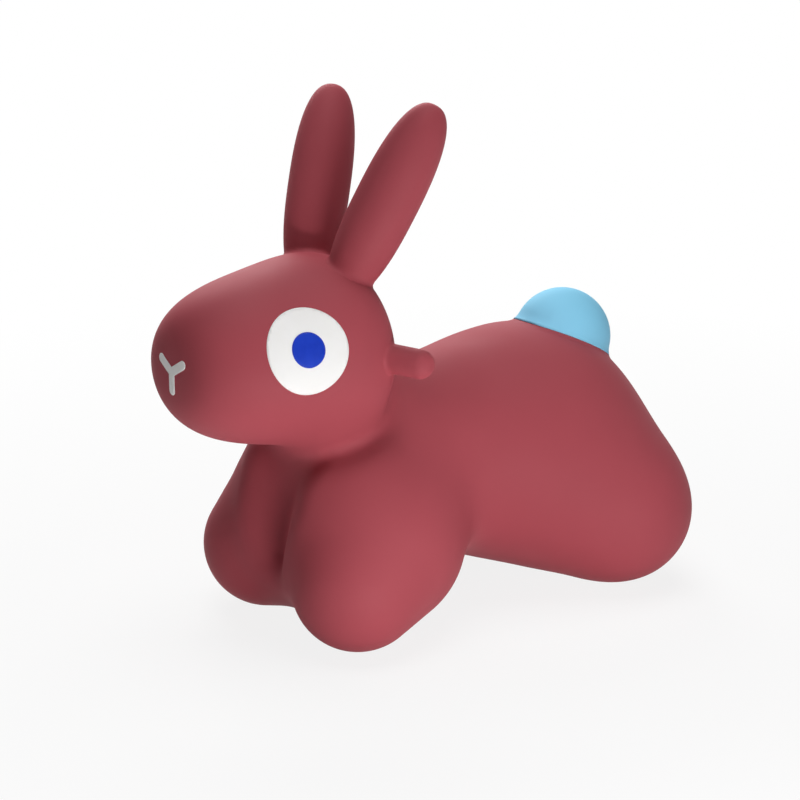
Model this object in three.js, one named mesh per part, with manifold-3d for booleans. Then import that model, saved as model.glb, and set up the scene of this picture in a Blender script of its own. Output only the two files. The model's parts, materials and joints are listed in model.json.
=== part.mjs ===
// Inflatable bunny hopper: a ride-on toy of soft vinyl, with two grip pegs, bending ears and an air plug.
// Millimetres, +Z up. The nose points to -Y and the bunny's left side is +X.
// The skin is one rounded form, written as a field that is negative inside and zero on the surface.
// Each lobe of the skin is an open cup that meets its neighbours rim to rim at a seam plane.
import * as THREE from 'three';
import { mergeVertices } from 'three/addons/utils/BufferGeometryUtils.js';
import Module from 'manifold-3d';

const wasm = await Module();
wasm.setup();

// Skin
const WALL = 2.2;
const GAP = 0.3;

// Head: a blunt egg, wider at the cheeks than at the nose
const HEAD_LENGTH = 204;
const HEAD_WIDTH = 181;
const HEAD_HEIGHT = 165;
const HEAD_Y = -159;
const HEAD_Z = 277;
const HEAD_NOSE_UP = 1;
const HEAD_TAPER = 0.226;
const HEAD_BLUNTNESS = 3.36;

// Torso and neck: tapered rolls between round ends. The neck ends inside the back of the head.
const CHEST_Y = -64;
const CHEST_Z = 158;
const CHEST_R = 78.4;
const RUMP_Y = 160.5;
const RUMP_Z = 131;
const RUMP_R = 121.4;
const NECK_BACK = 49.6;
const NECK_DROP = 35;
const NECK_R = 62;

// Front legs, from a shoulder below the chest to the foot
const SHOULDER_X = 41.8;
const SHOULDER_FORWARD = 6.2;
const SHOULDER_DROP = 66.3;
const SHOULDER_R = 91.5;
const FRONT_FOOT_X = 73;
const FRONT_FOOT_FORWARD = 39.3;
const FRONT_FOOT_R = 62.8;

// Hind legs, from a hip inside the rump to the foot
const HIP_X = 47.5;
const HIP_FORWARD = 18.7;
const HIP_DROP = 3.6;
const HIP_R = 77;
const HIND_FOOT_X = 97.3;
const HIND_FOOT_BACK = 60.7;
const HIND_FOOT_R = 75.5;

// How softly the lobes run into each other
const THROAT_BLEND = 40;
const FRONT_LEG_BLEND = 25;
const HIND_LEG_BLEND = 67;
const NECK_BLEND = 25;

// Depth of the flat that each foot stands on
const FOOT_FLAT = 1;

// Ears: long blunt eggs that bend round a roll at the root
const EAR_ROOT_X = 33.7;
const EAR_BACK = 76;
const EAR_LENGTH = 168;
const EAR_ROOT_DEPTH = 30;
const EAR_WIDTH = 59;
const EAR_THICKNESS = 59.2;
const EAR_BLUNTNESS = 2.5;
const EAR_SPLAY = 15.9;
const EAR_LEAN = 22.6;
const EAR_BEND_R = 34;

// Grip pegs, one on each cheek
const HANDLE_BACK = 77;
const HANDLE_UP = 4;
const HANDLE_LENGTH = 41;
const HANDLE_DIA = 27.2;
const HANDLE_SWEEP = 26;
const HANDLE_DROP = 4;
const HANDLE_COLLAR = 5;

// Tail: a half ball on the rump
const TAIL_DIA = 99.5;
const TAIL_ANGLE = 63;
const TAIL_SINK = 7;

// Printed face: two round eyes and a forked nose
const PRINT_THICKNESS = 0.5;
const EYE_DIA = 78;
const EYE_FORWARD = 11.5;
const EYE_UP = 26;
const PUPIL_DIA = 32;
const NOSE_UP = 3;
const NOSE_ARM_X = 16.8;
const NOSE_ARM_Z = 9.8;
const NOSE_STEM = 17.2;
const NOSE_STROKE = 8.5;

// Air valve under the belly
const VALVE_BACK = 19;
const VALVE_SEAT_DIA = 24;
const VALVE_SEAT_PROUD = 1.2;
const VALVE_FLANGE_DIA = 32;
const VALVE_FLANGE_THICKNESS = 2;
const VALVE_FLANGE_CLEAR = 0.8;
const PLUG_STEM_DIA = 8;
const PLUG_STEM_END = 3;
const PLUG_HEAD_DIA = 16;
const PLUG_HEAD_THICKNESS = 2;

// Seams between the lobes: which way each plane faces, and how far from the joint's middle it passes
const NECK_SEAM_BACK = 60;
const NECK_SEAM_DROP = 59;
const NECK_SEAM_TILT = 28.7;
const FRONT_SEAM_FACING = new THREE.Vector3(0.45, -0.5, -0.74).normalize();
const FRONT_SEAM_OFFSET = -22.6;
const HIND_SEAM_FACING = new THREE.Vector3(0.62, 0.5, -0.6).normalize();
const HIND_SEAM_OFFSET = 39.1;
const CREASE_INSET = 2.3;

// Facets
const FACET = 32;
const EAR_DETAIL = 3;
const TAIL_DETAIL = 2;
const BEND_SEGMENTS = 40;
const ROUND_SEGMENTS = 24;
const PEG_SEGMENTS = 14;
const PEG_END_SEGMENTS = 3;
const STROKE_SEGMENTS = 6;

// Larger than the toy, for cuts and for rays that start outside it
const BIG = 1500;
const FAR = BIG / 2;

const SIDES = { left: 1, right: -1 };
const vec = (x, y, z) => new THREE.Vector3(x, y, z);
const degrees = THREE.MathUtils.degToRad;

const vinyl = new THREE.MeshStandardMaterial({ color: '#98434d', roughness: 0.55, metalness: 0 });
const tailVinyl = new THREE.MeshStandardMaterial({ color: '#8fd0f2', roughness: 0.5, metalness: 0 });
const whiteInk = new THREE.MeshStandardMaterial({ color: '#fafaf7', roughness: 0.5, metalness: 0 });
const blueInk = new THREE.MeshStandardMaterial({ color: '#2042b8', roughness: 0.45, metalness: 0 });
const valveVinyl = new THREE.MeshStandardMaterial({ color: '#f2efe8', roughness: 0.45, metalness: 0 });

// Fields

function smoothMin(a, b, blend) {
  const share = Math.max(blend - Math.abs(a - b), 0) / blend;
  return Math.min(a, b) - share * share * blend / 4;
}

// A ball of radius ra at a, drawn out to a ball of radius rb at b.
function roundCone(a, b, ra, rb) {
  const axis = b.clone().sub(a);
  const length = axis.length();
  axis.divideScalar(length);
  const sine = (ra - rb) / length;
  const cosine = Math.sqrt(Math.max(1 - sine * sine, 0));
  const arm = vec();
  return (p) => {
    arm.subVectors(p, a);
    const along = arm.dot(axis);
    const across = Math.sqrt(Math.max(arm.lengthSq() - along * along, 0));
    const slant = along * cosine - across * sine;
    if (slant < 0) return Math.hypot(across, along) - ra;
    if (slant > cosine * length) return Math.hypot(across, along - length) - rb;
    return across * cosine + along * sine - ra;
  };
}

// An egg that narrows towards +axis by its taper; a higher power makes its ends blunter.
function bluntEgg(centre, axis, half, taper, power) {
  const side = vec(1, 0, 0);
  const third = vec().crossVectors(axis, side);
  const arm = vec();
  return (p) => {
    arm.subVectors(p, centre);
    const u = arm.dot(axis) / half.length;
    const girth = Math.max(1 - taper * u, 0.15);
    const s = arm.dot(side) / (half.width * girth);
    const t = arm.dot(third) / (half.height * girth);
    const ring = Math.hypot(s, t) + 1e-9;
    const size = (Math.abs(u) ** power + ring ** power) ** (1 / power);
    const slopeU = (Math.abs(u) / size) ** (power - 1) * Math.sign(u);
    const slopeRing = (ring / size) ** (power - 1);
    const gradient = Math.hypot(
      (slopeU + slopeRing * ring * taper / girth) / half.length,
      slopeRing * s / ring / (half.width * girth),
      slopeRing * t / ring / (half.height * girth),
    );
    return (size - 1) / gradient;
  };
}

const headCentre = vec(0, HEAD_Y, HEAD_Z);
const headAxis = vec(0, -Math.cos(degrees(HEAD_NOSE_UP)), Math.sin(degrees(HEAD_NOSE_UP)));
const headHalf = { length: HEAD_LENGTH / 2, width: HEAD_WIDTH / 2, height: HEAD_HEIGHT / 2 };
const head = bluntEgg(headCentre, headAxis, headHalf, HEAD_TAPER, HEAD_BLUNTNESS);
const chest = vec(0, CHEST_Y, CHEST_Z);
const rump = vec(0, RUMP_Y, RUMP_Z);
const neckEnd = headCentre.clone().add(vec(0, NECK_BACK, -NECK_DROP));
const shoulder = (side) => vec(side * SHOULDER_X, CHEST_Y - SHOULDER_FORWARD, CHEST_Z - SHOULDER_DROP);
const hip = (side) => vec(side * HIP_X, RUMP_Y - HIP_FORWARD, RUMP_Z - HIP_DROP);
const frontFoot = (side, lift) => vec(
  side * FRONT_FOOT_X, shoulder(side).y - FRONT_FOOT_FORWARD, FRONT_FOOT_R + lift);
const hindFoot = (side, lift) => vec(
  side * HIND_FOOT_X, hip(side).y + HIND_FOOT_BACK, HIND_FOOT_R + lift);

// The whole skin, with the feet raised by the given lifts.
function skinField(frontLift, hindLift) {
  const torso = roundCone(chest, rump, CHEST_R, RUMP_R);
  const neck = roundCone(chest, neckEnd, CHEST_R, NECK_R);
  const frontLegs = Object.values(SIDES).map(
    (side) => roundCone(shoulder(side), frontFoot(side, frontLift), SHOULDER_R, FRONT_FOOT_R));
  const hindLegs = Object.values(SIDES).map(
    (side) => roundCone(hip(side), hindFoot(side, hindLift), HIP_R, HIND_FOOT_R));
  return (p) => {
    let depth = smoothMin(torso(p), neck(p), THROAT_BLEND);
    for (const leg of frontLegs) depth = smoothMin(depth, leg(p), FRONT_LEG_BLEND);
    for (const leg of hindLegs) depth = smoothMin(depth, leg(p), HIND_LEG_BLEND);
    return smoothMin(depth, head(p), NECK_BLEND);
  };
}

// The first place along a ray where the field changes sign.
function crossing(field, from, direction) {
  const at = (t) => from.clone().addScaledVector(direction, t);
  const sign = Math.sign(field(from));
  const step = 5;
  let far = step;
  while (Math.sign(field(at(far))) === sign && far < BIG) far += step;
  let near = far - step;
  for (let i = 0; i < 24; i += 1) {
    const middle = (near + far) / 2;
    if (Math.sign(field(at(middle))) === sign) near = middle;
    else far = middle;
  }
  return at(far);
}

function normalAt(field, p) {
  const e = 0.5;
  const slope = (x, y, z) => field(p.clone().add(vec(x, y, z))) - field(p.clone().sub(vec(x, y, z)));
  return vec(slope(e, 0, 0), slope(0, e, 0), slope(0, 0, e)).normalize();
}

// The feet stand level: each sole reaches FOOT_FLAT below the ground, where it is cut flat.
const UP = vec(0, 0, 1);
const level = skinField(0, 0);
const soleLift = (foot) => -crossing(level, vec(foot.x, foot.y, -FAR), UP).z - FOOT_FLAT;
const frontLift = soleLift(frontFoot(1, 0));
const hindLift = soleLift(hindFoot(1, 0));
const skin = skinField(frontLift, hindLift);

// Solids

function solid(geometry) {
  const bare = new THREE.BufferGeometry();
  bare.setAttribute('position', geometry.getAttribute('position'));
  if (geometry.index) bare.setIndex(geometry.index);
  const merged = mergeVertices(bare, 1e-3);
  const vertProperties = new Float32Array(merged.getAttribute('position').array);
  const triVerts = new Uint32Array(merged.index.array);
  return new wasm.Manifold(new wasm.Mesh({ numProp: 3, vertProperties, triVerts }));
}

function geometryOf(manifold) {
  const mesh = manifold.getMesh();
  const geometry = new THREE.BufferGeometry();
  geometry.setAttribute('position', new THREE.BufferAttribute(mesh.vertProperties, 3));
  geometry.setIndex(new THREE.BufferAttribute(mesh.triVerts, 1));
  return geometry;
}

// The skin's facets. Each grid cell that the surface passes through holds one point on the surface,
// and each grid edge that it crosses is covered by the quad of the four points around it.
function skinFacets(box, cell) {
  const count = ['x', 'y', 'z'].map((axis) => Math.ceil((box.max[axis] - box.min[axis]) / cell) + 1);
  const [nx, ny, nz] = count;
  const corner = (i, j, k) => vec(i, j, k).multiplyScalar(cell).add(box.min);
  const key = (i, j, k) => (i * ny + j) * nz + k;
  const depth = new Float64Array(nx * ny * nz);
  for (let i = 0; i < nx; i += 1) {
    for (let j = 0; j < ny; j += 1) {
      for (let k = 0; k < nz; k += 1) depth[key(i, j, k)] = skin(corner(i, j, k));
    }
  }
  const steps = [[1, 0, 0], [0, 1, 0], [0, 0, 1]];
  const points = [];
  const pointOf = new Map();

  // The cell's point: the middle of its crossed edges, drawn onto the surface along the slope.
  function cellPoint(i, j, k) {
    if (pointOf.has(key(i, j, k))) return pointOf.get(key(i, j, k));
    const sum = vec();
    let crossed = 0;
    for (const [di, dj, dk] of steps) {
      for (const a of di ? [0] : [0, 1]) {
        for (const b of dj ? [0] : [0, 1]) {
          for (const c of dk ? [0] : [0, 1]) {
            const near = depth[key(i + a, j + b, k + c)];
            const far = depth[key(i + a + di, j + b + dj, k + c + dk)];
            if ((near < 0) === (far < 0)) continue;
            const share = near / (near - far);
            sum.add(corner(i + a + share * di, j + b + share * dj, k + c + share * dk));
            crossed += 1;
          }
        }
      }
    }
    const p = sum.divideScalar(crossed);
    for (let pass = 0; pass < 4; pass += 1) p.addScaledVector(normalAt(skin, p), -skin(p));
    points.push(p);
    pointOf.set(key(i, j, k), points.length - 1);
    return points.length - 1;
  }

  const triangles = [];
  function addQuad(quad, outwards) {
    const [a, b, c, d] = outwards ? quad : [...quad].reverse();
    const across = points[a].distanceTo(points[c]) < points[b].distanceTo(points[d]);
    triangles.push(...(across ? [a, b, c, a, c, d] : [a, b, d, b, c, d]));
  }

  for (let i = 1; i < nx - 1; i += 1) {
    for (let j = 1; j < ny - 1; j += 1) {
      for (let k = 1; k < nz - 1; k += 1) {
        const inside = depth[key(i, j, k)] < 0;
        steps.forEach(([di, dj, dk], axis) => {
          if (inside === (depth[key(i + di, j + dj, k + dk)] < 0)) return;
          const [e, f] = [steps[(axis + 1) % 3], steps[(axis + 2) % 3]];
          const around = [[0, 0], [1, 0], [1, 1], [0, 1]].map(([m, n]) => cellPoint(
            i - m * e[0] - n * f[0], j - m * e[1] - n * f[1], k - m * e[2] - n * f[2]));
          addQuad(around, inside);
        });
      }
    }
  }
  return { points, triangles };
}

const plane = (point, normal) => ({ point, normal });
const flipped = ({ point, normal }) => plane(point, normal.clone().negate());
const mirrored = ({ point, normal }, side) => plane(
  vec(side * point.x, point.y, point.z), vec(side * normal.x, normal.y, normal.z));

// All of space on the side that a plane faces, from `clear` beyond it.
function halfSpace({ point, normal }, clear) {
  const box = new THREE.BoxGeometry(BIG, BIG, BIG).translate(0, 0, BIG / 2 + clear);
  box.applyQuaternion(new THREE.Quaternion().setFromUnitVectors(UP, normal));
  return solid(box.translate(point.x, point.y, point.z));
}

const trimmed = (manifold, planes, clear) => planes.reduce(
  (kept, cut) => kept.intersect(halfSpace(cut, clear)), manifold);

// The skin's surface, moved out along its slope by a height.
const reach = Math.max(FRONT_FOOT_X + FRONT_FOOT_R, HIND_FOOT_X + HIND_FOOT_R, HEAD_WIDTH, RUMP_R);
const front = HEAD_Y - HEAD_LENGTH;
const rear = Math.max(RUMP_Y + RUMP_R, hindFoot(1, 0).y + HIND_FOOT_R);
const top = Math.max(HEAD_Z + HEAD_HEIGHT, RUMP_Z + RUMP_R);
const across = Math.ceil(reach / FACET + 1) * FACET;
const facetBox = new THREE.Box3(vec(-across, front, -3 * FACET), vec(across, rear + 3 * FACET, top));
const facets = skinFacets(facetBox, FACET);
const slopes = facets.points.map((p) => normalAt(skin, p));

function skinSolid(height) {
  const moved = facets.points.map((p, i) => p.clone().addScaledVector(slopes[i], height));
  const geometry = new THREE.BufferGeometry().setFromPoints(moved);
  return solid(geometry.setIndex(facets.triangles));
}

const outerSkin = skinSolid(0);
const innerSkin = skinSolid(-WALL);
const shell = outerSkin.subtract(innerSkin);

// Seams

const neckTilt = degrees(NECK_SEAM_TILT);
const neckSeam = plane(
  headCentre.clone().add(vec(0, NECK_SEAM_BACK, -NECK_SEAM_DROP)),
  vec(0, -Math.sin(neckTilt), Math.cos(neckTilt)));
const frontSeam = plane(
  shoulder(1).addScaledVector(FRONT_SEAM_FACING, FRONT_SEAM_OFFSET), FRONT_SEAM_FACING);
const hindSeam = plane(
  hip(1).addScaledVector(HIND_SEAM_FACING, HIND_SEAM_OFFSET), HIND_SEAM_FACING);

// The crease behind the front legs, where the belly starts
const crease = vec(0, shoulder(1).y + SHOULDER_R - CREASE_INSET, 0);
const bellySplit = plane(crease, vec(0, 1, 0));
const middle = plane(vec(0, 0, 0), vec(1, 0, 0));
const ground = plane(vec(0, 0, 0), UP);

function legRegion(side, seam, half) {
  return [mirrored(seam, side), half, mirrored(middle, side), flipped(neckSeam)];
}

// Pieces

const toy = new THREE.Group();

function addPiece(name, geometry, material, place) {
  const mesh = new THREE.Mesh(geometry, material);
  mesh.name = name;
  if (place) mesh.applyMatrix4(place);
  toy.add(mesh);
}

// A frame at a point, with local +Y along a direction.
function frameAt(point, direction) {
  const turn = new THREE.Quaternion().setFromUnitVectors(vec(0, 1, 0), direction);
  return new THREE.Matrix4().compose(point, turn, vec(1, 1, 1));
}

const placed = (geometry, place) => solid(geometry.clone().applyMatrix4(place));

// Legs: each cup is open to the torso and to the other leg, and stands on a flat.
function addLegs(end, seam, half) {
  for (const [hand, side] of Object.entries(SIDES)) {
    const region = legRegion(side, seam, half);
    const cup = trimmed(trimmed(shell, region, GAP / 2), [ground], 0);
    addPiece(`leg_${end}_${hand}`, geometryOf(cup), vinyl);
  }
}

addLegs('front', frontSeam, flipped(bellySplit));
addLegs('hind', hindSeam, bellySplit);

// Tail: a half ball whose open side rests on a short collar of the torso.
const tailDirection = vec(0, Math.cos(degrees(TAIL_ANGLE)), Math.sin(degrees(TAIL_ANGLE)));
const tailCentre = crossing(skin, rump, tailDirection).addScaledVector(tailDirection, -TAIL_SINK);
const tailSeam = plane(tailCentre, tailDirection);
const tailBall = (radius) => solid(
  new THREE.IcosahedronGeometry(radius, TAIL_DETAIL).translate(...tailCentre.toArray()));
const tailOuter = tailBall(TAIL_DIA / 2);
const tailInner = tailBall(TAIL_DIA / 2 - WALL);
const tailCup = trimmed(tailOuter.subtract(tailInner), [tailSeam], GAP / 2);
addPiece('tail', geometryOf(tailCup), tailVinyl);

// Air valve: a flanged seat in the belly skin and a push-in plug. Local +Y points into the toy.
const valvePoint = crossing(skin, vec(0, crease.y + VALVE_BACK, -FAR), UP);
const inward = normalAt(skin, valvePoint).negate();
const valveFrame = frameAt(valvePoint, inward);
const flangeEdge = vec(VALVE_FLANGE_DIA / 2, 0, 0).add(valvePoint).addScaledVector(inward, -FAR);
const skinRise = crossing(skin, flangeEdge, inward).sub(valvePoint).dot(inward);
const flangeBottom = skinRise + WALL + VALVE_FLANGE_CLEAR;
const flangeTop = flangeBottom + VALVE_FLANGE_THICKNESS;
const plugShoulder = -VALVE_SEAT_PROUD - GAP;
const boreR = PLUG_STEM_DIA / 2 + GAP;

// A turned solid from [radius, height] corners, listed from the bottom up round the section.
function turned(corners) {
  const profile = corners.map(([radius, height]) => new THREE.Vector2(radius, height));
  return new THREE.LatheGeometry(profile, ROUND_SEGMENTS);
}

const seatCorners = [
  [boreR, -VALVE_SEAT_PROUD],
  [VALVE_SEAT_DIA / 2, -VALVE_SEAT_PROUD],
  [VALVE_SEAT_DIA / 2, flangeBottom],
  [VALVE_FLANGE_DIA / 2, flangeBottom],
  [VALVE_FLANGE_DIA / 2, flangeTop],
  [boreR, flangeTop],
  [boreR, -VALVE_SEAT_PROUD],
];
const plugCorners = [
  [0, plugShoulder - PLUG_HEAD_THICKNESS],
  [PLUG_HEAD_DIA / 2, plugShoulder - PLUG_HEAD_THICKNESS],
  [PLUG_HEAD_DIA / 2, plugShoulder],
  [PLUG_STEM_DIA / 2, plugShoulder],
  [PLUG_STEM_DIA / 2, flangeTop],
  [PLUG_STEM_DIA / 4, flangeTop + PLUG_STEM_END],
  [0, flangeTop + PLUG_STEM_END],
];
addPiece('valve_seat', geometryOf(solid(turned(seatCorners))), valveVinyl, valveFrame);
addPiece('valve_plug', geometryOf(solid(turned(plugCorners))), valveVinyl, valveFrame);
const holeR = VALVE_SEAT_DIA / 2 + GAP;
const valveHole = placed(
  new THREE.CylinderGeometry(holeR, holeR, 2 * flangeTop, ROUND_SEGMENTS), valveFrame);

// Torso: the roll between neck, legs and tail, open where each of them joins.
const tailCollar = trimmed(tailOuter, [flipped(tailSeam)], GAP / 2);
const torsoShell = outerSkin.add(tailCollar).subtract(innerSkin.add(tailInner));
let torsoCup = trimmed(torsoShell, [flipped(neckSeam)], GAP / 2).subtract(valveHole);
for (const side of Object.values(SIDES)) {
  const frontRegion = legRegion(side, frontSeam, flipped(bellySplit));
  const hindRegion = legRegion(side, hindSeam, bellySplit);
  for (const [first, ...others] of [frontRegion, hindRegion]) {
    torsoCup = torsoCup.subtract(trimmed(halfSpace(first, -GAP / 2), others, -GAP / 2));
  }
}
addPiece('torso', geometryOf(torsoCup), vinyl);

// Ears: local +Y runs from the root to the tip. A roll across the root parts the ear from its stub,
// so that the ear can bend forwards and back round the roll's axis, which lies along the toy's X.
const earHalf = (EAR_LENGTH + EAR_ROOT_DEPTH) / 2;

function earEgg(thinner) {
  const egg = new THREE.IcosahedronGeometry(1, EAR_DETAIL);
  const points = egg.getAttribute('position');
  for (let i = 0; i < points.count; i += 1) {
    const p = vec().fromBufferAttribute(points, i);
    p.divideScalar(
      (Math.abs(p.y) ** EAR_BLUNTNESS + Math.hypot(p.x, p.z) ** EAR_BLUNTNESS) ** (1 / EAR_BLUNTNESS));
    points.setXYZ(
      i,
      p.x * (EAR_WIDTH / 2 - thinner),
      p.y * (earHalf - thinner) + EAR_LENGTH - earHalf,
      p.z * (EAR_THICKNESS / 2 - thinner),
    );
  }
  return egg;
}

const earOuter = earEgg(0);
const earInner = earEgg(WALL);

// The root, the way the ear leans, and the roll that it bends round.
function earPlace(side) {
  const lean = vec(side * Math.tan(degrees(EAR_SPLAY)), Math.tan(degrees(EAR_LEAN)), 1).normalize();
  const above = vec(side * EAR_ROOT_X, HEAD_Y + EAR_BACK, FAR);
  const root = crossing(skin, above, vec(0, 0, -1));
  const roll = (radius) => solid(
    new THREE.CylinderGeometry(radius, radius, 2 * EAR_WIDTH, BEND_SEGMENTS)
      .rotateZ(Math.PI / 2).translate(...root.toArray()));
  return { frame: frameAt(root, lean), rootPlane: plane(root, lean), roll };
}

// Grip pegs: local +Y runs out of the cheek, and the head keeps a short collar.
const handleR = HANDLE_DIA / 2;

function handlePeg(radius) {
  const peg = new THREE.CapsuleGeometry(radius, HANDLE_LENGTH, PEG_END_SEGMENTS, PEG_SEGMENTS);
  return peg.translate(0, HANDLE_LENGTH / 2 - handleR, 0);
}

const handleOuter = handlePeg(handleR);
const handleInner = handlePeg(handleR - WALL);
const handleSeam = plane(vec(0, HANDLE_COLLAR, 0), vec(0, 1, 0));
const handleCup = trimmed(solid(handleOuter).subtract(solid(handleInner)), [handleSeam], GAP / 2);

function handleFrame(side) {
  const sweep = degrees(HANDLE_SWEEP);
  const drop = degrees(HANDLE_DROP);
  const out = vec(
    side * Math.cos(sweep) * Math.cos(drop), Math.sin(sweep) * Math.cos(drop), -Math.sin(drop));
  const beside = vec(side * FAR, HEAD_Y + HANDLE_BACK, HEAD_Z + HANDLE_UP);
  return frameAt(crossing(skin, beside, vec(-side, 0, 0)), out);
}

// Head: open at the neck, at the ear stubs and at the collars of the pegs.
let headOuter = outerSkin;
let headInner = innerSkin;
for (const [hand, side] of Object.entries(SIDES)) {
  const ear = earPlace(side);
  const [outerEgg, innerEgg] = [earOuter, earInner].map((egg) => placed(egg, ear.frame));
  headOuter = headOuter.add(outerEgg.intersect(ear.roll(EAR_BEND_R - GAP / 2)));
  headInner = headInner.add(innerEgg.intersect(ear.roll(EAR_BEND_R + WALL)));
  const earShell = trimmed(outerEgg.subtract(innerEgg), [ear.rootPlane], 0);
  const earCup = earShell.subtract(ear.roll(EAR_BEND_R + GAP / 2));
  addPiece(`ear_${hand}`, geometryOf(earCup), vinyl);

  const handle = handleFrame(side);
  const collar = trimmed(solid(handleOuter), [flipped(handleSeam)], GAP / 2);
  const passage = trimmed(solid(handleInner), [flipped(handleSeam)], -WALL);
  headOuter = headOuter.add(placed(geometryOf(collar), handle));
  headInner = headInner.add(placed(geometryOf(passage), handle));
  addPiece(`handle_${hand}`, geometryOf(handleCup), vinyl, handle);
}
addPiece('head', geometryOf(trimmed(headOuter.subtract(headInner), [neckSeam], GAP / 2)), vinyl);

// Printed face: thin layers that follow the head just outside its skin.
const printLayer = skinSolid(GAP + PRINT_THICKNESS).subtract(skinSolid(GAP));
const punch = (radius, place) => placed(
  new THREE.CylinderGeometry(radius, radius, EYE_DIA, ROUND_SEGMENTS), place);

for (const [hand, side] of Object.entries(SIDES)) {
  const beside = vec(side * FAR, HEAD_Y - EYE_FORWARD, HEAD_Z + EYE_UP);
  const eye = crossing(skin, beside, vec(-side, 0, 0));
  const place = frameAt(eye, normalAt(skin, eye));
  const disc = printLayer.intersect(punch(EYE_DIA / 2, place));
  const white = disc.subtract(punch(PUPIL_DIA / 2 + GAP, place));
  const pupil = disc.intersect(punch(PUPIL_DIA / 2, place));
  addPiece(`eye_white_${hand}`, geometryOf(white), whiteInk);
  addPiece(`eye_pupil_${hand}`, geometryOf(pupil), blueInk);
}

// One round-ended stroke of the nose, from the fork to (x, z), as a bar through the front of the head.
const barDepth = HEAD_LENGTH / 4;

function noseStroke(x, z) {
  const angle = Math.atan2(z, x);
  const quarter = Math.PI / 2;
  const outline = new THREE.Shape();
  outline.absarc(x, z, NOSE_STROKE / 2, angle - quarter, angle + quarter);
  outline.absarc(0, 0, NOSE_STROKE / 2, angle + quarter, angle + 3 * quarter);
  const bar = new THREE.ExtrudeGeometry(
    outline, { depth: barDepth, bevelEnabled: false, curveSegments: STROKE_SEGMENTS });
  return bar.rotateX(quarter).translate(0, barDepth / 2, 0).translate(...noseFork.toArray());
}

const noseFork = crossing(skin, vec(0, -FAR, HEAD_Z + NOSE_UP), vec(0, 1, 0));
const noseStrokes = [[NOSE_ARM_X, NOSE_ARM_Z], [-NOSE_ARM_X, NOSE_ARM_Z], [0, -NOSE_STEM]];
const noseBars = noseStrokes.map(([x, z]) => solid(noseStroke(x, z)));
const noseMark = noseBars.reduce((mark, bar) => mark.add(bar)).intersect(printLayer);
addPiece('nose_mark', geometryOf(noseMark), whiteInk);

// The origin is under the middle of the toy's length, on the ground.
const extent = new THREE.Box3().setFromObject(toy, true);
toy.position.y = -(extent.min.y + extent.max.y) / 2;

export default toy;
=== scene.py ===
"""Bunny hopper: satin vinyl skin, ears, grip pegs, ball tail, printed face and air plug, in metres."""
import json
import math

import bpy
import numpy as np
from mathutils import Matrix, Vector
from mathutils.geometry import delaunay_2d_cdt


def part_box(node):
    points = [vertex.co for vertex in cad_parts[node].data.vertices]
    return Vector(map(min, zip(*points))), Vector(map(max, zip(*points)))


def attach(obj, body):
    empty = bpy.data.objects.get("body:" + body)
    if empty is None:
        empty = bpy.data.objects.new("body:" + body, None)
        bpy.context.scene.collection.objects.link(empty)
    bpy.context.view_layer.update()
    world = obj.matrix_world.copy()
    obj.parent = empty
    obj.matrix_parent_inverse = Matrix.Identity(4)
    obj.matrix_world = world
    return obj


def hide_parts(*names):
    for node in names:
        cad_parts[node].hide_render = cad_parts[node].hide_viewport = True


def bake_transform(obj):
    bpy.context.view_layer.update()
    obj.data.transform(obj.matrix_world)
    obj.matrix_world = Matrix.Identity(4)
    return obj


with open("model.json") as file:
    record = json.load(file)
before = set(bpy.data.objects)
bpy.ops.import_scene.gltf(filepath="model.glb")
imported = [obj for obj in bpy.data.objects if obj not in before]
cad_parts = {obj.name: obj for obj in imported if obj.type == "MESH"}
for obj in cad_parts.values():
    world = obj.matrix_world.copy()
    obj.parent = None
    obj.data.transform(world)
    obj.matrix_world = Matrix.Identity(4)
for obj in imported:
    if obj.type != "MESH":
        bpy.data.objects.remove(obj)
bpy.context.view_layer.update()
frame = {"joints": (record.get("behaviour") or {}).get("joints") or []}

# Skin: the same lobes as the solids, with +Y to the tail and +X to the bunny's left
HEAD_LENGTH = 0.204
HEAD_WIDTH = 0.181
HEAD_HEIGHT = 0.165
HEAD_Y = -0.159
HEAD_Z = 0.277
HEAD_NOSE_UP = math.radians(1)
HEAD_TAPER = 0.226
HEAD_BLUNTNESS = 3.36
CHEST_Y = -0.064
CHEST_Z = 0.158
CHEST_R = 0.0784
RUMP_Y = 0.1605
RUMP_Z = 0.131
RUMP_R = 0.1214
NECK_BACK = 0.0496
NECK_DROP = 0.035
NECK_R = 0.062
SHOULDER_X = 0.0418
SHOULDER_FORWARD = 0.0062
SHOULDER_DROP = 0.0663
SHOULDER_R = 0.0915
FRONT_FOOT_X = 0.073
FRONT_FOOT_FORWARD = 0.0393
FRONT_FOOT_Z = 0.0618
FRONT_FOOT_R = 0.0628
HIP_X = 0.0475
HIP_FORWARD = 0.0187
HIP_DROP = 0.0036
HIP_R = 0.077
HIND_FOOT_X = 0.0973
HIND_FOOT_BACK = 0.0607
HIND_FOOT_Z = 0.076
HIND_FOOT_R = 0.0755
THROAT_BLEND = 0.040
FRONT_LEG_BLEND = 0.040
HIND_LEG_BLEND = 0.067
NECK_BLEND = 0.025
SOLE_BLEND = 0.001

# Creases of the soft skin: one round the throat and cheeks that stays off the nape, and a fold between
# the front legs that widens to the chin. Each end of the fold is a place along Y, a height and a radius.
NAPE_R = 0.050
NAPE_BLEND = 0.020
CREASE_WIDTH = 0.006
CREASE_DEPTH = 0.024
CREASE_BLEND = 0.040
FOLD_CHIN = (-0.185, 0.200, 0.055)
FOLD_FEET = (-0.154, 0.085, 0.008)
FOLD_NARROWING = np.array([1.25, 1, 1])
FOLD_BLEND = 0.040

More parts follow.
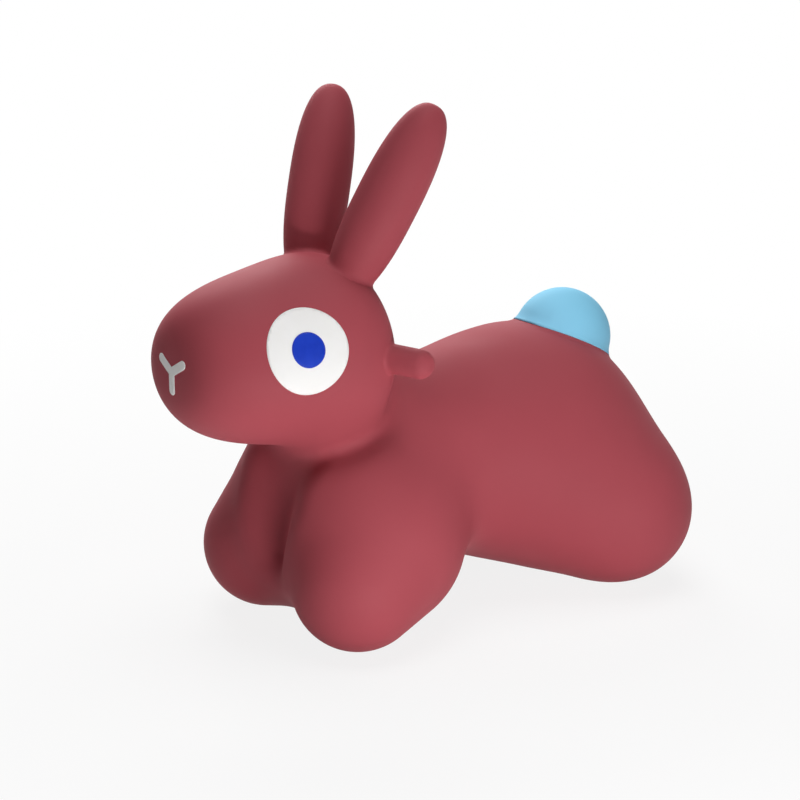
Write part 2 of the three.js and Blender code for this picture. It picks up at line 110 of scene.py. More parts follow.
# Ears, grip pegs and tail
EAR_BACK = 0.076
EAR_LENGTH = 0.168
EAR_ROOT_DEPTH = 0.030
EAR_WIDTH = 0.059
EAR_THICKNESS = 0.0592
EAR_BLUNTNESS = 2.5
EAR_SPLAY = math.radians(15.9)
EAR_LEAN = math.radians(22.6)
EAR_FILLET = 0.005
PEG_BACK = 0.077
PEG_UP = 0.004
PEG_LENGTH = 0.041
PEG_R = 0.0136
PEG_SWEEP = math.radians(26)
PEG_DROP = math.radians(4)
PEG_FILLET = 0.004
TAIL_R = 0.04975
TAIL_ANGLE = math.radians(63)
TAIL_SINK = 0.007
TAIL_FILLET = 0.010
TAIL_STEP = 0.0007
TAIL_EDGE = 0.001

# The tilts from the tail's tip between which its edge on the skin is sought
TAIL_EDGE_TILTS = (math.radians(45), math.radians(120))

# How deep a separate lobe is seated under the skin, and how far its fillet dips below it
SEAT_DEPTH = 0.004
FILLET_DIP = 0.0002

# Printed face
EYE_R = 0.039
EYE_FORWARD = 0.0115
EYE_UP = 0.026
PUPIL_R = 0.016
NOSE_UP = 0.003
NOSE_ARM = (0.0168, 0.0098)
NOSE_STEM = 0.0172
NOSE_STROKE = 0.0085
INK = 0.0003
INK_ROOT = 0.0006

# Air valve under the belly: the seat's ring, the plug's head and stem, and the pit in the skin behind them
VALVE_Y = 0.038
SEAT_R = 0.012
SEAT_PROUD = 0.0012
SEAT_DEEP = 0.004
BORE_R = 0.0043
PLUG_HEAD_R = 0.008
PLUG_HEAD_LOW = 0.0015
PLUG_HEAD_TOP = 0.0035
PLUG_STEM_R = 0.004
PLUG_TIP_R = 0.002
PLUG_STEM_DEEP = 0.006
PLUG_DEEP = 0.009
PIT_R = 0.008
PIT_DEEP = 0.010
VALVE_EDGE = 0.0006

# Mesh detail: grid cells, the spacing and edge points of the prints, and the steps of searches
SKIN_CELL = 0.003
EAR_CELL = 0.0025
PEG_CELL = 0.0012
PEG_MARGIN = 0.020
EYE_SPACING = 0.003
EYE_POINTS = 120
PUPIL_SPACING = 0.002
PUPIL_POINTS = 80
NOSE_SPACING = 0.0015
PRINT_MERGE = 0.02
SLOPE_STEP = 0.0002
RAY_STEP = 0.002
HALVINGS = 24
CHUNK = 100000
LEAST_GIRTH = 0.15
TINY = 1e-9
FAR = 0.5

# Materials: noise runs over the middle of its range, and the grain's height is in metres
NOISE_LOW = 0.3
NOISE_HIGH = 0.7
GRAIN_HEIGHT = 0.0002
VINYL_SPECULAR = 0.12
VINYL_ROUGHNESS = 0.62
VINYL_UNEVENNESS = 0.04
VINYL_CLOUD = {"scale": 7, "detail": 3}
VINYL_SHINE = {"scale": 16, "detail": 2}
VINYL_GRAIN = {"scale": 700, "strength": 0.1}
INK_SPECULAR = 0.2
INK_ROUGHNESS = 0.45
INK_MOTTLE = {"scale": 60, "detail": 3}
INK_GRAIN = {"scale": 900, "strength": 0.05}

SIDES = {"left": 1, "right": -1}
X, Y, Z = np.eye(3)

# The frame's origin is in the middle of the toy's length, so the drawing is shifted to meet the joints
ear_joint = {joint["child"]: np.array(joint["pos_m"]) for joint in frame["joints"] if "pos_m" in joint}
SHIFT = ear_joint["ear_left"][1] - (HEAD_Y + EAR_BACK)


def at(x, y, z):
    """A point of the skin's own drawing, in the frame."""
    return np.array([x, y + SHIFT, z])


def unit(v):
    return np.asarray(v) / np.linalg.norm(v)


def unit_rows(v):
    return v / np.linalg.norm(v, axis=1)[:, None]


# Fields: negative inside, zero on the surface

def smooth_min(a, b, blend):
    """Both shapes joined, with a fillet where they lie within `blend` of each other."""
    share = np.maximum(blend - np.abs(a - b), 0) / blend
    return np.minimum(a, b) - share * share * blend / 4


def smooth_max(a, b, blend):
    """What both shapes share, with its edge rounded in the same way."""
    return -smooth_min(-a, -b, blend)


def round_cone(p, a, b, ra, rb):
    """A ball of radius ra at a, drawn out to a ball of radius rb at b."""
    length = np.linalg.norm(b - a)
    axis = (b - a) / length
    sine = (ra - rb) / length
    cosine = math.sqrt(1 - sine * sine)
    arm = p - a
    along = arm @ axis
    across = np.sqrt(np.maximum((arm * arm).sum(1) - along * along, 0))
    slant = along * cosine - across * sine
    near = np.hypot(across, along) - ra
    far = np.hypot(across, along - length) - rb
    between = across * cosine + along * sine - ra
    return np.where(slant < 0, near, np.where(slant > cosine * length, far, between))


def blunt_egg(p, centre, axes, half, taper, power):
    """An egg along its second axis, narrower there by its taper; a higher power makes its ends blunter."""
    side, along, third = ((p - centre) @ axes.T).T
    u = along / half[1]
    girth = np.maximum(1 - taper * u, LEAST_GIRTH)
    s = side / (half[0] * girth)
    t = third / (half[2] * girth)
    ring = np.hypot(s, t) + TINY
    size = (np.abs(u) ** power + ring ** power) ** (1 / power)
    slope_u = (np.abs(u) / size) ** (power - 1) * np.sign(u)
    slope_ring = (ring / size) ** (power - 1)
    gradient = np.sqrt(
        ((slope_u + slope_ring * ring * taper / girth) / half[1]) ** 2
        + (slope_ring * s / ring / (half[0] * girth)) ** 2
        + (slope_ring * t / ring / (half[2] * girth)) ** 2)
    return (size - 1) / gradient


head_centre = at(0, HEAD_Y, HEAD_Z)
head_axis = np.array([0, -math.cos(HEAD_NOSE_UP), math.sin(HEAD_NOSE_UP)])
head_axes = np.array([X, head_axis, np.cross(head_axis, X)])
head_half = (HEAD_WIDTH / 2, HEAD_LENGTH / 2, HEAD_HEIGHT / 2)
chest = at(0, CHEST_Y, CHEST_Z)
rump = at(0, RUMP_Y, RUMP_Z)
neck_end = head_centre + np.array([0, NECK_BACK, -NECK_DROP])
nape = head_centre + np.array([0, HEAD_LENGTH / 2, -NECK_DROP])


def front_leg(side):
    """The shoulder, the foot and their radii."""
    shoulder = chest + np.array([side * SHOULDER_X, -SHOULDER_FORWARD, -SHOULDER_DROP])
    foot = np.array([side * FRONT_FOOT_X, shoulder[1] - FRONT_FOOT_FORWARD, FRONT_FOOT_Z])
    return shoulder, foot, SHOULDER_R, FRONT_FOOT_R


def hind_leg(side):
    """The hip, the foot and their radii."""
    hip = rump + np.array([side * HIP_X, -HIP_FORWARD, -HIP_DROP])
    foot = np.array([side * HIND_FOOT_X, hip[1] + HIND_FOOT_BACK, HIND_FOOT_Z])
    return hip, foot, HIP_R, HIND_FOOT_R


def fold_field(p):
    """The space that the fold takes out of the chest."""
    (chin_y, chin_z, chin_r), (feet_y, feet_z, feet_r) = FOLD_CHIN, FOLD_FEET
    return round_cone(p * FOLD_NARROWING, at(0, chin_y, chin_z), at(0, feet_y, feet_z), chin_r, feet_r)


def skin_field(p):
    """The whole skin, without ears, pegs and tail."""
    torso = round_cone(p, chest, rump, CHEST_R, RUMP_R)
    neck = round_cone(p, chest, neck_end, CHEST_R, NECK_R)
    depth = smooth_min(torso, neck, THROAT_BLEND)
    for side in SIDES.values():
        depth = smooth_min(depth, round_cone(p, *front_leg(side)), FRONT_LEG_BLEND)
    for side in SIDES.values():
        depth = smooth_min(depth, round_cone(p, *hind_leg(side)), HIND_LEG_BLEND)
    depth = smooth_max(depth, -fold_field(p), FOLD_BLEND)
    head = blunt_egg(p, head_centre, head_axes, head_half, HEAD_TAPER, HEAD_BLUNTNESS)
    inner_neck = round_cone(p, chest, neck_end, CHEST_R - CREASE_DEPTH, NECK_R - CREASE_DEPTH)
    off_nape = np.linalg.norm(p - nape, axis=1) - NAPE_R
    crease = smooth_min(CREASE_WIDTH - head, off_nape, NAPE_BLEND)
    depth = smooth_max(depth, crease, CREASE_BLEND)
    depth = smooth_min(depth, inner_neck, NECK_BLEND)
    return smooth_min(depth, head, NECK_BLEND)


def slope(field, p):
    """The field's gradient at each point."""
    steps = np.eye(3) * SLOPE_STEP
    return np.stack([field(p + step) - field(p - step) for step in steps], -1) / (2 * SLOPE_STEP)


def normal_at(field, point):
    return unit(slope(field, point[None])[0])


def settle(field, p, most, passes=4):
    """Points drawn onto the surface along the slope, each by no more than `most` in a pass."""
    for _ in range(passes):
        grade = slope(field, p)
        steepness = np.maximum((grade * grade).sum(1), TINY)
        move = (field(p) / steepness)[:, None] * grade
        reach = np.maximum(np.linalg.norm(move, axis=1) / most, 1)
        p = p - move / reach[:, None]
    return p


def crossing(field, start, direction):
    """The first place along a ray where the field changes sign."""
    steps = np.arange(0, 2 * FAR, RAY_STEP)
    inside = field(start + steps[:, None] * direction) < 0
    first = np.flatnonzero(inside != inside[0])[0]
    near, far = steps[first - 1], steps[first]
    for _ in range(HALVINGS):
        middle = (near + far) / 2
        if (field((start + middle * direction)[None])[0] < 0) == inside[0]:
            near = middle
        else:
            far = middle
    return start + far * direction


tail_direction = np.array([0, math.cos(TAIL_ANGLE), math.sin(TAIL_ANGLE)])
tail_centre = crossing(skin_field, rump, tail_direction) - TAIL_SINK * tail_direction
valve_point = crossing(skin_field, at(0, VALVE_Y, -FAR), Z)
valve_outward = normal_at(skin_field, valve_point)


def tail_field(p):
    return np.linalg.norm(p - tail_centre, axis=1) - TAIL_R


def body_field(p):
    """The skin as it stands: with a lower ball under the tail, a pit for the valve and level soles."""
    depth = smooth_min(skin_field(p), tail_field(p) + TAIL_STEP, TAIL_FILLET)
    pit = round_cone(p, valve_point, valve_point - PIT_DEEP * valve_outward, PIT_R, PIT_R)
    depth = np.maximum(depth, -pit)
    return smooth_max(depth, -p[:, 2], SOLE_BLEND)


def seated(lobe, fillet):
    """A lobe with a small fillet at its root, closed just under the skin."""
    def field(p):
        own = lobe(p)
        skin = skin_field(p)
        joined = smooth_min(own, skin + FILLET_DIP, fillet)
        return np.maximum(np.maximum(joined, -skin - SEAT_DEPTH), own - fillet)
    return field


# Meshes

def surface_net(field, low, high, cell, relax=2):
    """Points and quads of a field's surface: a point in each grid cell that it passes through."""
    count = np.ceil((np.asarray(high) - low) / cell).astype(int) + 1
    grid = np.stack(np.meshgrid(*(np.arange(n) for n in count), indexing="ij"), -1).reshape(-1, 3)
    chunks = np.array_split(grid, max(len(grid) // CHUNK, 1))
    depth = np.concatenate([field(low + cell * chunk) for chunk in chunks]).reshape(count)
    inside = depth < 0
    total = np.zeros((depth.size, 3))
    hits = np.zeros(depth.size)
    quads = []
    for axis in range(3):
        ahead = np.roll(inside, -1, axis)
        crossed = inside != ahead
        crossed[tuple(-1 if a == axis else slice(None) for a in range(3))] = False
        edges = np.argwhere(crossed)
        here = depth[crossed]
        there = np.roll(depth, -1, axis)[crossed]
        places = edges + (here / (here - there))[:, None] * np.eye(3)[axis]
        e, f = np.eye(3, dtype=int)[[(axis + 1) % 3, (axis + 2) % 3]]
        around = np.stack([
            np.ravel_multi_index((edges - m * e - n * f).T, depth.shape)
            for m, n in ((0, 0), (1, 0), (1, 1), (0, 1))], 1)
        for corner in around.T:
            np.add.at(total, corner, places)
            np.add.at(hits, corner, 1)
        outwards = inside[crossed]
        quads.append(np.where(outwards[:, None], around, around[:, ::-1]))
    used = np.flatnonzero(hits)
    points = low + cell * total[used] / hits[used][:, None]
    lookup = np.full(depth.size, -1)
    lookup[used] = np.arange(len(used))
    quads = lookup[np.concatenate(quads)]
    points = settle(field, points, cell)
    starts = quads.ravel()
    ends = np.roll(quads, -1, 1).ravel()
    for _ in range(relax):
        neighbours = np.zeros_like(points)
        number = np.zeros(len(points))
        for a, b in ((starts, ends), (ends, starts)):
            np.add.at(neighbours, a, points[b])
            np.add.at(number, a, 1)
        points = settle(field, (points + neighbours / number[:, None]) / 2, cell, passes=2)
    return points, quads


def add_piece(name, points, faces, material, slot, body, *nodes):
    """A smooth mesh that rides on a body and stands for some of the solids."""
    mesh = bpy.data.meshes.new(name)
    mesh.from_pydata([tuple(p) for p in points], [], [tuple(f) for f in faces])
    mesh.polygons.foreach_set("use_smooth", [True] * len(mesh.polygons))
    mesh.materials.append(material)
    mesh.validate()
    piece = bpy.data.objects.new(name, mesh)
    bpy.context.scene.collection.objects.link(piece)
    if body:
        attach(piece, body)
    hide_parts(*nodes)
    return piece


def placed(origin, direction):
    """A frame at a point with its +Z along a direction."""
    turn = Vector(Z).rotation_difference(Vector(direction))
    return Matrix.Translation(Vector(origin)) @ turn.to_matrix().to_4x4()


def stitched(rows, first=None, last=None):
    """Points and faces of rows of points, listed downwards, closed by end points or into a loop."""
    count = len(rows[0])
    points = [p for row in rows for p in row]
    bands = list(zip(range(len(rows)), range(1, len(rows))))
    if first is None:
        bands.append((len(rows) - 1, 0))
    faces = []
    for k in range(count):
        after = (k + 1) % count
        for upper, lower in bands:
            a, b = upper * count, lower * count
            faces.append((a + k, b + k, b + after, a + after))
        if first is not None:
            faces.append((len(points), k, after))
            base = (len(rows) - 1) * count
            faces.append((base + k, len(points) + 1, base + after))
    if first is not None:
        points += [first, last]
    return points, faces


def lathe(profile, place, segments=64):
    """A profile of (radius, height) pairs, listed downwards and turned about +Z of its place."""
    turns = [2 * math.pi * k / segments for k in range(segments)]
    rows = [[place @ Vector((r * math.cos(turn), r * math.sin(turn), h)) for turn in turns]
            for r, h in profile if r > 0]
    ends = [place @ Vector((0, 0, h)) for r, h in profile if r == 0]
    return stitched(rows, *ends)


def rounded(corners, radius, steps=4):
    """A profile of (radius, height) corners with each inner corner turned into a small arc."""
    profile = [corners[0]]
    for before, corner, after in zip(corners, corners[1:], corners[2:]):
        b, c, a = (np.array(v, float) for v in (before, corner, after))
        p, q = c + radius * unit(b - c), c + radius * unit(a - c)
        for k in range(steps + 1):
            t = k / steps
            profile.append(tuple((1 - t) ** 2 * p + 2 * t * (1 - t) * c + t * t * q))
    profile.append(corners[-1])
    return profile


def print_on_skin(outline, spacing, centre, normal, up, height):
    """A thin closed layer on the skin: an outline in the plane across `normal`, pressed onto it."""
    right = unit(np.cross(up, normal))
    upward = np.cross(normal, right)
    low, high = np.min(outline, 0), np.max(outline, 0)
    columns, lines = (np.arange(low[k], high[k], spacing) for k in range(2))
    grid = [(u, v) for u in columns for v in lines]
    loop = [(k, (k + 1) % len(outline)) for k in range(len(outline))]
    inside_only = 1
    flat, _, triangles, *_ = delaunay_2d_cdt(
        [Vector(p) for p in list(outline) + grid], loop, [list(range(len(outline)))],
        inside_only, PRINT_MERGE * spacing)
    flat = np.array([tuple(p) for p in flat])
    used = sorted({v for triangle in triangles for v in triangle})
    number = {v: k for k, v in enumerate(used)}
    triangles = [tuple(number[v] for v in triangle) for triangle in triangles]
    sheet = centre + flat[used, :1] * right + flat[used, 1:] * upward
    reach = np.full(len(sheet), HEAD_WIDTH / 4)
    low_end, high_end = -reach, reach
    for _ in range(HALVINGS):
        middle = (low_end + high_end) / 2
        under = skin_field(sheet + middle[:, None] * normal) < 0
        low_end = np.where(under, middle, low_end)
        high_end = np.where(under, high_end, middle)
    surface = sheet + high_end[:, None] * normal
    outward = unit_rows(slope(skin_field, surface))
    points = np.concatenate([surface + height * outward, surface - INK_ROOT * outward])
    n = len(surface)
    edges = {(t[k], t[(k + 1) % 3]) for t in triangles for k in range(3)}
    rim = [(a, b) for a, b in edges if (b, a) not in edges]
    faces = list(triangles)
    faces += [tuple(n + v for v in reversed(t)) for t in triangles]
    faces += [(b, a, a + n, b + n) for a, b in rim]
    return points, faces


# Materials

def linear(red, green, blue):
    """A colour given as it looks on screen, 0 to 255."""
    def channel(c):
        c /= 255
        return c / 12.92 if c <= 0.04045 else ((c + 0.055) / 1.055) ** 2.4
    return (channel(red), channel(green), channel(blue), 1)


def new_material(name, specular, roughness):
    material = bpy.data.materials.new(name)
    material.use_nodes = True
    shader = material.node_tree.nodes["Principled BSDF"]
    shader.inputs["Roughness"].default_value = roughness
    shader.inputs["Specular IOR Level"].default_value = specular
    return material, shader


def noise(material, scale, detail):
    """Noise fixed to the toy, in its own frame."""
    nodes, links = material.node_tree.nodes, material.node_tree.links
    place = nodes.new("ShaderNodeTexCoord")
    texture = nodes.new("ShaderNodeTexNoise")
    texture.inputs["Scale"].default_value = scale
    texture.inputs["Detail"].default_value = detail
    links.new(place.outputs["Object"], texture.inputs["Vector"])
    return texture.outputs["Fac"]


def ramp(material, source, first, second):
    """A colour that runs from first to second over the middle of the source's range."""
    nodes, links = material.node_tree.nodes, material.node_tree.links
    node = nodes.new("ShaderNodeValToRGB")
    for element, place, colour in zip(node.color_ramp.elements, (NOISE_LOW, NOISE_HIGH), (first, second)):
        element.position = place
        element.color = colour
    links.new(source, node.inputs["Fac"])
    return node.outputs["Color"]


def set_range(node, *limits):
    """Where a range node's source starts and ends, and what it is turned into there."""
    for name, value in zip(("From Min", "From Max", "To Min", "To Max"), limits):
        node.inputs[name].default_value = value


def spread(material, source, low, high):
    """A number from low to high, over the middle of the source's range."""
    nodes, links = material.node_tree.nodes, material.node_tree.links
    node = nodes.new("ShaderNodeMapRange")
    set_range(node, NOISE_LOW, NOISE_HIGH, low, high)
    links.new(source, node.inputs["Value"])
    return node.outputs["Result"]


def grain(material, shader, scale, strength):
    """A fine pebbled grain, as moulded vinyl has."""
    nodes, links = material.node_tree.nodes, material.node_tree.links
    place = nodes.new("ShaderNodeTexCoord")
    cells = nodes.new("ShaderNodeTexVoronoi")
    cells.feature = "SMOOTH_F1"
    cells.inputs["Scale"].default_value = scale
    links.new(place.outputs["Object"], cells.inputs["Vector"])
    bump = nodes.new("ShaderNodeBump")
    bump.inputs["Strength"].default_value = strength
    bump.inputs["Distance"].default_value = GRAIN_HEIGHT
    links.new(cells.outputs["Distance"], bump.inputs["Height"])
    links.new(bump.outputs["Normal"], shader.inputs["Normal"])


def vinyl(name, deep, pale):
    """Satin soft vinyl: a slight cloudiness in its colour and gloss over a fine grain."""
    material, shader = new_material(name, VINYL_SPECULAR, VINYL_ROUGHNESS)
    links = material.node_tree.links
    links.new(ramp(material, noise(material, **VINYL_CLOUD), deep, pale), shader.inputs["Base Color"])
    least, most = VINYL_ROUGHNESS - VINYL_UNEVENNESS, VINYL_ROUGHNESS + VINYL_UNEVENNESS
    links.new(spread(material, noise(material, **VINYL_SHINE), least, most), shader.inputs["Roughness"])
    grain(material, shader, **VINYL_GRAIN)
    return material


def ink(name, deep, pale):
    """Printed ink: a little mottled, smoother than the vinyl."""
    material, shader = new_material(name, INK_SPECULAR, INK_ROUGHNESS)
    links = material.node_tree.links
    links.new(ramp(material, noise(material, **INK_MOTTLE), deep, pale), shader.inputs["Base Color"])
    grain(material, shader, **INK_GRAIN)
    return material


burgundy = vinyl("burgundy_vinyl", linear(166, 74, 83), linear(170, 77, 86))
sky_blue = vinyl("sky_blue_vinyl", linear(144, 219, 253), linear(150, 223, 255))
off_white = vinyl("off_white_vinyl", linear(232, 228, 218), linear(238, 235, 226))
white_ink = ink("white_ink", linear(250, 249, 247), linear(253, 252, 251))
blue_ink = ink("blue_ink", linear(22, 56, 182), linear(28, 64, 196))


# Skin

def span(*nodes, margin):
    """The lowest and highest corners of some solids, with room round them."""
    corners = np.array([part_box(node) for node in nodes], float)
    return corners.min((0, 1)) - margin, corners.max((0, 1)) + margin


skin_nodes = ["torso", "head"] + [f"leg_{end}_{hand}" for end in ("front", "hind") for hand in SIDES]
skin_low, skin_high = span(*skin_nodes, margin=4 * SKIN_CELL)
half_width = math.ceil(max(-skin_low[0], skin_high[0]) / SKIN_CELL) * SKIN_CELL
skin_low[0], skin_high[0] = -half_width, half_width
add_piece("skin", *surface_net(body_field, skin_low, skin_high, SKIN_CELL),
          burgundy, "vinyl", "skin", *skin_nodes)


# Ears

def ear_field(root, lean):
    """A blunt egg that leans from its root."""
    turn = np.array(Vector(Y).rotation_difference(Vector(lean)).to_matrix())
    half = (EAR_LENGTH + EAR_ROOT_DEPTH) / 2
    centre = root + (EAR_LENGTH - half) * lean
    sizes = (EAR_WIDTH / 2, half, EAR_THICKNESS / 2)
    return lambda p: blunt_egg(p, centre, turn.T, sizes, 0, EAR_BLUNTNESS)


for hand, side in SIDES.items():
    root = ear_joint[f"ear_{hand}"]
    lean = unit([side * math.tan(EAR_SPLAY), math.tan(EAR_LEAN), 1])
    low, high = span(f"ear_{hand}", margin=3 * EAR_FILLET)
    low[2] = root[2] - 2 * EAR_THICKNESS
    low[:2] = np.minimum(low[:2], root[:2] - EAR_WIDTH)
    high[:2] = np.maximum(high[:2], root[:2] + EAR_WIDTH)
    lobe = seated(ear_field(root, lean), EAR_FILLET)
    ear = add_piece(f"ear_{hand}_skin", *surface_net(lobe, low, high, EAR_CELL),
                    burgundy, "vinyl", None, f"ear_{hand}")
    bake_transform(ear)


# Grip pegs

for hand, side in SIDES.items():
    beside = at(side * FAR, HEAD_Y + PEG_BACK, HEAD_Z + PEG_UP)
    root = crossing(skin_field, beside, -side * X)
    out = np.array([side * math.cos(PEG_SWEEP) * math.cos(PEG_DROP),
                    math.sin(PEG_SWEEP) * math.cos(PEG_DROP), -math.sin(PEG_DROP)])
    ends = (root - PEG_R * out, root + (PEG_LENGTH - PEG_R) * out)
    peg = seated(lambda p: round_cone(p, *ends, PEG_R, PEG_R), PEG_FILLET)
    low, high = span(f"handle_{hand}", margin=PEG_MARGIN)
    add_piece(f"handle_{hand}_grip", *surface_net(peg, low, high, PEG_CELL),
              burgundy, "vinyl", "skin", f"handle_{hand}")


# Tail: a ball that ends where it runs into the skin

def tail_cap(rings=36, segments=120):
    """Points and faces of the ball's cap, down to its edge on the skin and closed below it."""
    forward = np.cross(tail_direction, X)
    turns = np.linspace(0, 2 * math.pi, segments, endpoint=False)
    around = np.cos(turns)[:, None] * X + np.sin(turns)[:, None] * forward

    def surface(tilt):
        rays = np.cos(tilt)[:, None] * tail_direction + np.sin(tilt)[:, None] * around
        near, far = np.zeros(segments), np.full(segments, 2 * TAIL_R)
        for _ in range(HALVINGS):
            middle = (near + far) / 2
            p = tail_centre + middle[:, None] * rays
            inside = smooth_min(skin_field(p), tail_field(p), TAIL_FILLET) < 0
            near, far = np.where(inside, middle, near), np.where(inside, far, middle)
        return tail_centre + far[:, None] * rays

    on_tail, on_skin = (np.full(segments, tilt) for tilt in TAIL_EDGE_TILTS)
    for _ in range(HALVINGS):
        middle = (on_tail + on_skin) / 2
        p = surface(middle)
        within = tail_field(p) < skin_field(p) + TAIL_EDGE
        on_tail, on_skin = np.where(within, middle, on_tail), np.where(within, on_skin, middle)
    rows = [surface(share * on_tail) for share in np.linspace(0, 1, rings)[1:]]
    rows.append(rows[-1] + 2 * TAIL_STEP * unit_rows(tail_centre - rows[-1]))
    return stitched(rows, tail_centre + TAIL_R * tail_direction, tail_centre)


add_piece("tail_ball", *tail_cap(), sky_blue, "tail_vinyl", "skin", "tail")


# Printed face

def circle(radius, count):
    """Points round a circle."""
    return [(radius * math.cos(2 * math.pi * k / count), radius * math.sin(2 * math.pi * k / count))
            for k in range(count)]


for hand, side in SIDES.items():
    beside = at(side * FAR, HEAD_Y - EYE_FORWARD, HEAD_Z + EYE_UP)
    eye = crossing(skin_field, beside, -side * X)
    facing = normal_at(skin_field, eye)
    white = print_on_skin(circle(EYE_R, EYE_POINTS), EYE_SPACING, eye, facing, Z, INK)
    pupil = print_on_skin(circle(PUPIL_R, PUPIL_POINTS), PUPIL_SPACING, eye, facing, Z, 2 * INK)
    add_piece(f"eye_white_{hand}_print", *white, white_ink, "white_ink", "skin", f"eye_white_{hand}")
    add_piece(f"eye_pupil_{hand}_print", *pupil, blue_ink, "blue_ink", "skin", f"eye_pupil_{hand}")


def forked_outline(tips, width, arc_steps=10):
    """Round-ended strokes from one fork to each tip, given in turn round the fork."""
    angles = [math.atan2(z, x) for x, z in tips]
    outline = []
    for k, (tip, angle) in enumerate(zip(tips, angles)):
        following = angles[(k + 1) % len(tips)]
        gap = (following - angle) % (2 * math.pi)
        for step in range(arc_steps + 1):
            turn = angle - math.pi / 2 + math.pi * step / arc_steps
            outline.append((tip[0] + width / 2 * math.cos(turn), tip[1] + width / 2 * math.sin(turn)))
        inner = width / 2 / math.sin(gap / 2)
        outline.append((inner * math.cos(angle + gap / 2), inner * math.sin(angle + gap / 2)))
    return outline


fork = crossing(skin_field, at(0, -FAR, HEAD_Z + NOSE_UP), Y)
nose_tips = [NOSE_ARM, (-NOSE_ARM[0], NOSE_ARM[1]), (0, -NOSE_STEM)]
nose = print_on_skin(forked_outline(nose_tips, NOSE_STROKE), NOSE_SPACING, fork, -Y, Z, INK)
add_piece("nose_print", *nose, white_ink, "white_ink", "skin", "nose_mark")


# Air valve: a round-edged ring in the belly, and the plug pushed into it

valve_place = placed(valve_point, valve_outward)
seat_corners = [(BORE_R, SEAT_PROUD), (SEAT_R, SEAT_PROUD), (SEAT_R, -SEAT_DEEP), (BORE_R, -SEAT_DEEP)]
seat_profile = rounded([seat_corners[-1], *seat_corners, seat_corners[0]], VALVE_EDGE)[1:-1]
add_piece("valve_ring", *lathe(seat_profile, valve_place), off_white, "valve_vinyl", "skin", "valve_seat")
plug_corners = [
    (0, PLUG_HEAD_TOP), (PLUG_HEAD_R, PLUG_HEAD_TOP), (PLUG_HEAD_R, PLUG_HEAD_LOW),
    (PLUG_STEM_R, PLUG_HEAD_LOW), (PLUG_STEM_R, -PLUG_STEM_DEEP), (PLUG_TIP_R, -PLUG_DEEP), (0, -PLUG_DEEP)]
add_piece("air_plug", *lathe(rounded(plug_corners, VALVE_EDGE), valve_place),
          off_white, "valve_vinyl", "valve_plug", "valve_plug")


# Floor, lamps and camera

# The camera's target falls on the pixel of the photograph's frame that MIDDLE_X and MIDDLE_Y give,
# and its scale is measured there
CAMERA_AZIMUTH = math.radians(51.345)
CAMERA_ELEVATION = math.radians(16.623)
CAMERA_DISTANCE = 2.10877
CAMERA_TARGET = at(0, 0, 0.22)
PIXELS_PER_METRE = 1030
SENSOR = 36.0
MIDDLE_X = 400.369
MIDDLE_Y = 384.452
IMAGE = 800

# The floor's half width and colour, and its fade: from and to which distance, and the share of white there
FLOOR = 20
FLOOR_COLOUR = (0.9, 0.9, 0.9, 1)
FLOOR_FADE = (0.4, 1.2, 0.85, 1.0)

# Lamps: azimuth from the camera's, elevation, distance, width, height and power
LAMPS = {
    "top": (0, 89, 2.2, 1.6, 1.6, 34),
    "back": (-165, 35, 2.2, 1.2, 1.2, 23),
    "floor_strip": (20, -10.7, 0.967, 0.6, 0.05, 5.1),
}


def direction_from(azimuth, elevation):
    """The way from the middle to a viewer, with azimuth 0 in front of the nose."""
    return np.array([math.sin(azimuth) * math.cos(elevation), -math.cos(azimuth) * math.cos(elevation),
                     math.sin(elevation)])


def aim(thing, place, target):
    """Puts a lamp or camera at a place, facing its target."""
    thing.location = Vector(place)
    thing.rotation_euler = (Vector(target) - Vector(place)).to_track_quat("-Z", "Y").to_euler()


camera_data = bpy.data.cameras.new("camera")
camera_data.sensor_width = SENSOR
camera_data.lens = SENSOR * PIXELS_PER_METRE * CAMERA_DISTANCE / IMAGE
camera_data.shift_x = (IMAGE / 2 - MIDDLE_X) / IMAGE
camera_data.shift_y = (MIDDLE_Y - IMAGE / 2) / IMAGE
camera = bpy.data.objects.new("camera", camera_data)
bpy.context.scene.collection.objects.link(camera)
camera_way = direction_from(CAMERA_AZIMUTH, CAMERA_ELEVATION)
aim(camera, CAMERA_TARGET + CAMERA_DISTANCE * camera_way, CAMERA_TARGET)
bpy.context.scene.camera = camera


def add_lamp(name, azimuth, elevation, distance, width, height, power):
    """A soft box that faces the toy's middle, placed by its angles from there."""
    data = bpy.data.lights.new(name, "AREA")
    data.shape = "RECTANGLE"
    data.size = width
    data.size_y = height
    data.energy = power
    lamp = bpy.data.objects.new(name, data)
    lamp.visible_camera = False
    bpy.context.scene.collection.objects.link(lamp)
    way = direction_from(CAMERA_AZIMUTH + math.radians(azimuth), math.radians(elevation))
    aim(lamp, CAMERA_TARGET + distance * way, CAMERA_TARGET)


for lamp_name, setting in LAMPS.items():
    add_lamp(lamp_name, *setting)


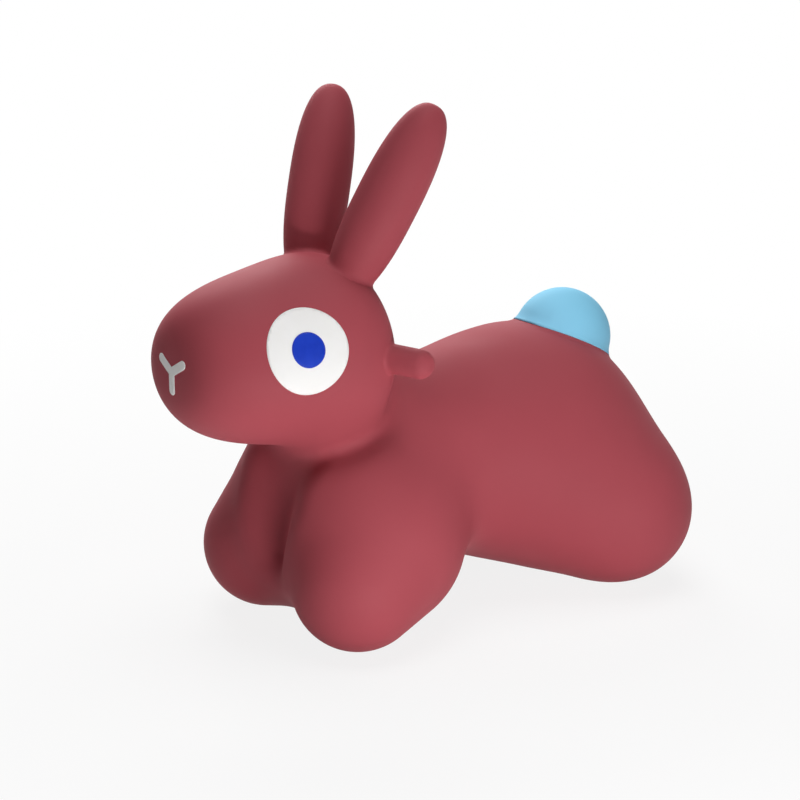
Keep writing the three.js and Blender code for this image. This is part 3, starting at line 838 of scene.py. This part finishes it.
def sight(tree):
    """1 on the rays by which the camera, a reflection or a clear surface sees the background, else 0."""
    path = tree.nodes.new("ShaderNodeLightPath")
    seen = path.outputs["Is Camera Ray"]
    for kind in ("Is Glossy Ray", "Is Transmission Ray"):
        either = tree.nodes.new("ShaderNodeMath")
        either.operation = "MAXIMUM"
        tree.links.new(seen, either.inputs[0])
        tree.links.new(path.outputs[kind], either.inputs[1])
        seen = either.outputs["Value"]
    return seen


def add_floor():
    """A pale floor that is white to the eye, but keeps some of the toy's shadow close to it."""
    mesh = bpy.data.meshes.new("floor")
    corners = [(-FLOOR, -FLOOR, 0), (FLOOR, -FLOOR, 0), (FLOOR, FLOOR, 0), (-FLOOR, FLOOR, 0)]
    mesh.from_pydata(corners, [], [(0, 1, 2, 3)])
    floor = bpy.data.objects.new("floor", mesh)
    bpy.context.scene.collection.objects.link(floor)
    material, shader = new_material("floor", specular=0.0, roughness=1.0)
    shader.inputs["Base Color"].default_value = FLOOR_COLOUR
    tree = material.node_tree
    place = tree.nodes.new("ShaderNodeTexCoord")
    distance = tree.nodes.new("ShaderNodeVectorMath")
    distance.operation = "LENGTH"
    tree.links.new(place.outputs["Object"], distance.inputs[0])
    fade = tree.nodes.new("ShaderNodeMapRange")
    set_range(fade, *FLOOR_FADE)
    tree.links.new(distance.outputs["Value"], fade.inputs["Value"])
    share = tree.nodes.new("ShaderNodeMath")
    share.operation = "MULTIPLY"
    tree.links.new(sight(tree), share.inputs[0])
    tree.links.new(fade.outputs["Result"], share.inputs[1])
    white = tree.nodes.new("ShaderNodeEmission")
    mix = tree.nodes.new("ShaderNodeMixShader")
    tree.links.new(share.outputs["Value"], mix.inputs["Fac"])
    tree.links.new(shader.outputs["BSDF"], mix.inputs[1])
    tree.links.new(white.outputs["Emission"], mix.inputs[2])
    tree.links.new(mix.outputs["Shader"], tree.nodes["Material Output"].inputs["Surface"])
    mesh.materials.append(material)


def set_world():
    """A room that is white to the eye and in reflections, and gives no other light."""
    world = bpy.data.worlds.new("studio")
    bpy.context.scene.world = world
    world.use_nodes = True
    tree = world.node_tree
    white = tree.nodes["Background"]
    white.inputs["Color"].default_value = (1, 1, 1, 1)
    tree.links.new(sight(tree), white.inputs["Strength"])


add_floor()
set_world()
bpy.context.scene.view_settings.view_transform = "Standard"
